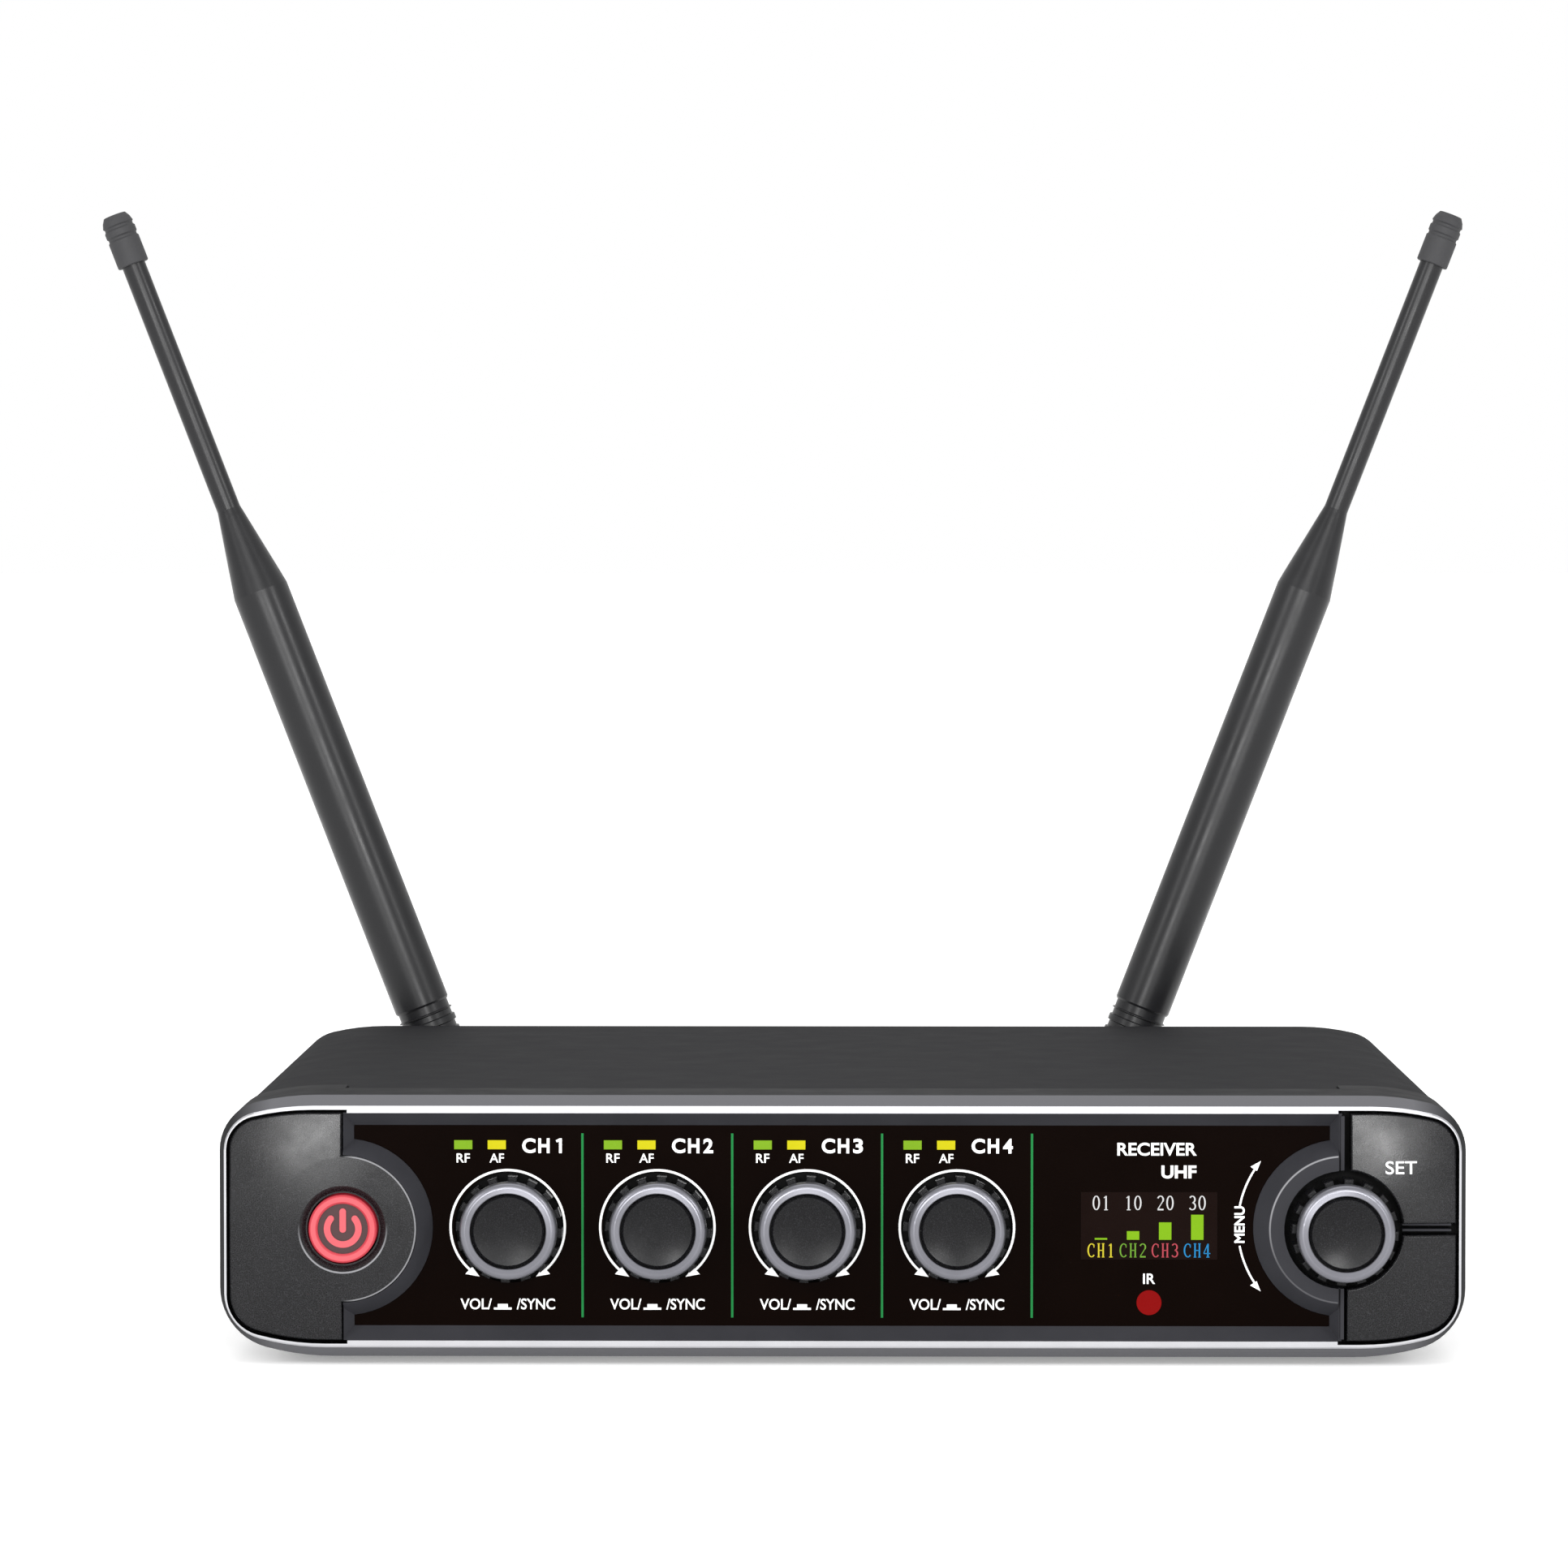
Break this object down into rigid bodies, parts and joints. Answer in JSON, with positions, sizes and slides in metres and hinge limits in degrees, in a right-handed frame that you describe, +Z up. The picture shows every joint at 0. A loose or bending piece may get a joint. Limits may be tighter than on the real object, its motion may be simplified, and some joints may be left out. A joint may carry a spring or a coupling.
{
  "type": "wireless microphone receiver",
  "caption": "Low desktop wireless microphone receiver with push volume knobs, a menu dial, lit power button, colour display and folding rear antennas.",
  "frame": {"origin": "centre of the case footprint, on the plane that the feet stand on", "axes": "+Z up, +X to the right seen from the front, the front faces -Y"},
  "size_m": [0.2633, 0.1754, 0.2031],
  "materials": {
    "cover": "fine matte moulded finish",
    "bezel": "satin metallic grey",
    "trim": "bright satin",
    "moulding": "fine texture",
    "fascia": "gloss black",
    "end_cap": "satin spark texture",
    "red_lens": "lit translucent",
    "power_face": "dark tinted",
    "knob": "fine texture",
    "knob_silver": "satin silver",
    "steel": "satin",
    "board": "solder resist",
    "component": "moulded epoxy",
    "display": "dark glass",
    "green_light": "lit",
    "yellow_light": "lit",
    "ir_red": "tinted",
    "rear_metal": "black powder coat",
    "nickel": "satin nickel",
    "black_insert": "matte",
    "contact": "plated",
    "rubber": "matte",
    "antenna": "satin",
    "cable": "flexible",
    "print_white": "silk-screen ink",
    "print_green": "silk-screen ink"
  },
  "bodies": {
    "case": {"top_cover": "cover", "bottom_cover": "cover", "front_frame": "bezel", "frame_trim": "trim", "front_moulding": "moulding", "fascia_panel": "fascia", "left_end_cap": "end_cap", "right_end_cap": "end_cap", "rear_panel": "rear_metal", "feet": "rubber", "case_screws": "steel", "rear_screws": "steel", "front_board": "board", "main_board": "board", "board_components": "component", "shield_cans": "steel", "ribbon_cable": "cable", "display_module": "display", "rf_light_pipes": "green_light", "af_light_pipes": "yellow_light", "ir_window": "ir_red", "encoder_bodies": "steel", "tact_switches": "component", "xlr_shells": "nickel", "xlr_inserts": "black_insert", "xlr_pins": "contact", "mix_jack": "black_insert", "dc_inlet": "black_insert", "antenna_sockets": "nickel", "antenna_leads": "cable"},
    "power_button": {"power_button_lens": "red_lens", "power_button_face": "power_face"},
    "set_button": {"set_button": "end_cap"},
    "menu_dial": {"menu_shaft": "steel", "menu_knob": "knob", "menu_ring": "knob_silver"},
    "volume_rotor_1": {"encoder_rotor_1": "component"},
    "volume_knob_1": {"volume_shaft_1": "steel", "volume_knob_1": "knob", "volume_ring_1": "knob_silver"},
    "volume_rotor_2": {"encoder_rotor_2": "component"},
    "volume_knob_2": {"volume_shaft_2": "steel", "volume_knob_2": "knob", "volume_ring_2": "knob_silver"},
    "volume_rotor_3": {"encoder_rotor_3": "component"},
    "volume_knob_3": {"volume_shaft_3": "steel", "volume_knob_3": "knob", "volume_ring_3": "knob_silver"},
    "volume_rotor_4": {"encoder_rotor_4": "component"},
    "volume_knob_4": {"volume_shaft_4": "steel", "volume_knob_4": "knob", "volume_ring_4": "knob_silver"},
    "antenna_elbow_left": {"antenna_elbow_left": "antenna", "antenna_pin_left": "steel"},
    "antenna_whip_left": {"antenna_whip_left": "antenna", "antenna_tip_left": "rubber"},
    "antenna_elbow_right": {"antenna_elbow_right": "antenna", "antenna_pin_right": "steel"},
    "antenna_whip_right": {"antenna_whip_right": "antenna", "antenna_tip_right": "rubber"}
  },
  "joints": [
    {"name": "volume_turn_1", "type": "hinge", "parent": "case", "child": "volume_rotor_1", "pos_m": [-0.05613, -0.078, 0.02325], "axis": [0, 1, 0], "continuous": true},
    {"name": "volume_push_1", "type": "slide", "parent": "volume_rotor_1", "child": "volume_knob_1", "axis": [0, 1, 0], "range_m": [0, 0.0005], "stiffness_N_per_m": 4000, "springref_m": -0.0001},
    {"name": "volume_turn_2", "type": "hinge", "parent": "case", "child": "volume_rotor_2", "pos_m": [-0.03098, -0.078, 0.02325], "axis": [0, 1, 0], "continuous": true},
    {"name": "volume_push_2", "type": "slide", "parent": "volume_rotor_2", "child": "volume_knob_2", "axis": [0, 1, 0], "range_m": [0, 0.0005], "stiffness_N_per_m": 4000, "springref_m": -0.0001},
    {"name": "volume_turn_3", "type": "hinge", "parent": "case", "child": "volume_rotor_3", "pos_m": [-0.00583, -0.078, 0.02325], "axis": [0, 1, 0], "continuous": true},
    {"name": "volume_push_3", "type": "slide", "parent": "volume_rotor_3", "child": "volume_knob_3", "axis": [0, 1, 0], "range_m": [0, 0.0005], "stiffness_N_per_m": 4000, "springref_m": -0.0001},
    {"name": "volume_turn_4", "type": "hinge", "parent": "case", "child": "volume_rotor_4", "pos_m": [0.01932, -0.078, 0.02325], "axis": [0, 1, 0], "continuous": true},
    {"name": "volume_push_4", "type": "slide", "parent": "volume_rotor_4", "child": "volume_knob_4", "axis": [0, 1, 0], "range_m": [0, 0.0005], "stiffness_N_per_m": 4000, "springref_m": -0.0001},
    {"name": "menu_turn", "type": "hinge", "parent": "case", "child": "menu_dial", "pos_m": [0.0844, -0.078, 0.02325], "axis": [0, 1, 0], "continuous": true},
    {"name": "power_push", "type": "slide", "parent": "case", "child": "power_button", "axis": [0, 1, 0], "range_m": [0, 0.0005], "stiffness_N_per_m": 3000, "springref_m": -0.0001},
    {"name": "set_push", "type": "slide", "parent": "case", "child": "set_button", "axis": [0, 1, 0], "range_m": [0, 0.0005], "stiffness_N_per_m": 3000, "springref_m": -0.0001},
    {"name": "antenna_swivel_left", "type": "hinge", "parent": "case", "child": "antenna_elbow_left", "pos_m": [-0.0717, 0.084, 0.0225], "axis": [0, 1, 0], "range_deg": [-68.8, 33]},
    {"name": "antenna_fold_left", "type": "hinge", "parent": "antenna_elbow_left", "child": "antenna_whip_left", "pos_m": [-0.0717, 0.084, 0.0225], "axis": [-0.9326, 0, -0.3608], "range_deg": [0, 90]},
    {"name": "antenna_swivel_right", "type": "hinge", "parent": "case", "child": "antenna_elbow_right", "pos_m": [0.048, 0.084, 0.0225], "axis": [0, 1, 0], "range_deg": [-33, 68.8]},
    {"name": "antenna_fold_right", "type": "hinge", "parent": "antenna_elbow_right", "child": "antenna_whip_right", "pos_m": [0.048, 0.084, 0.0225], "axis": [-0.9326, 0, 0.3608], "range_deg": [0, 90]}
  ]
}
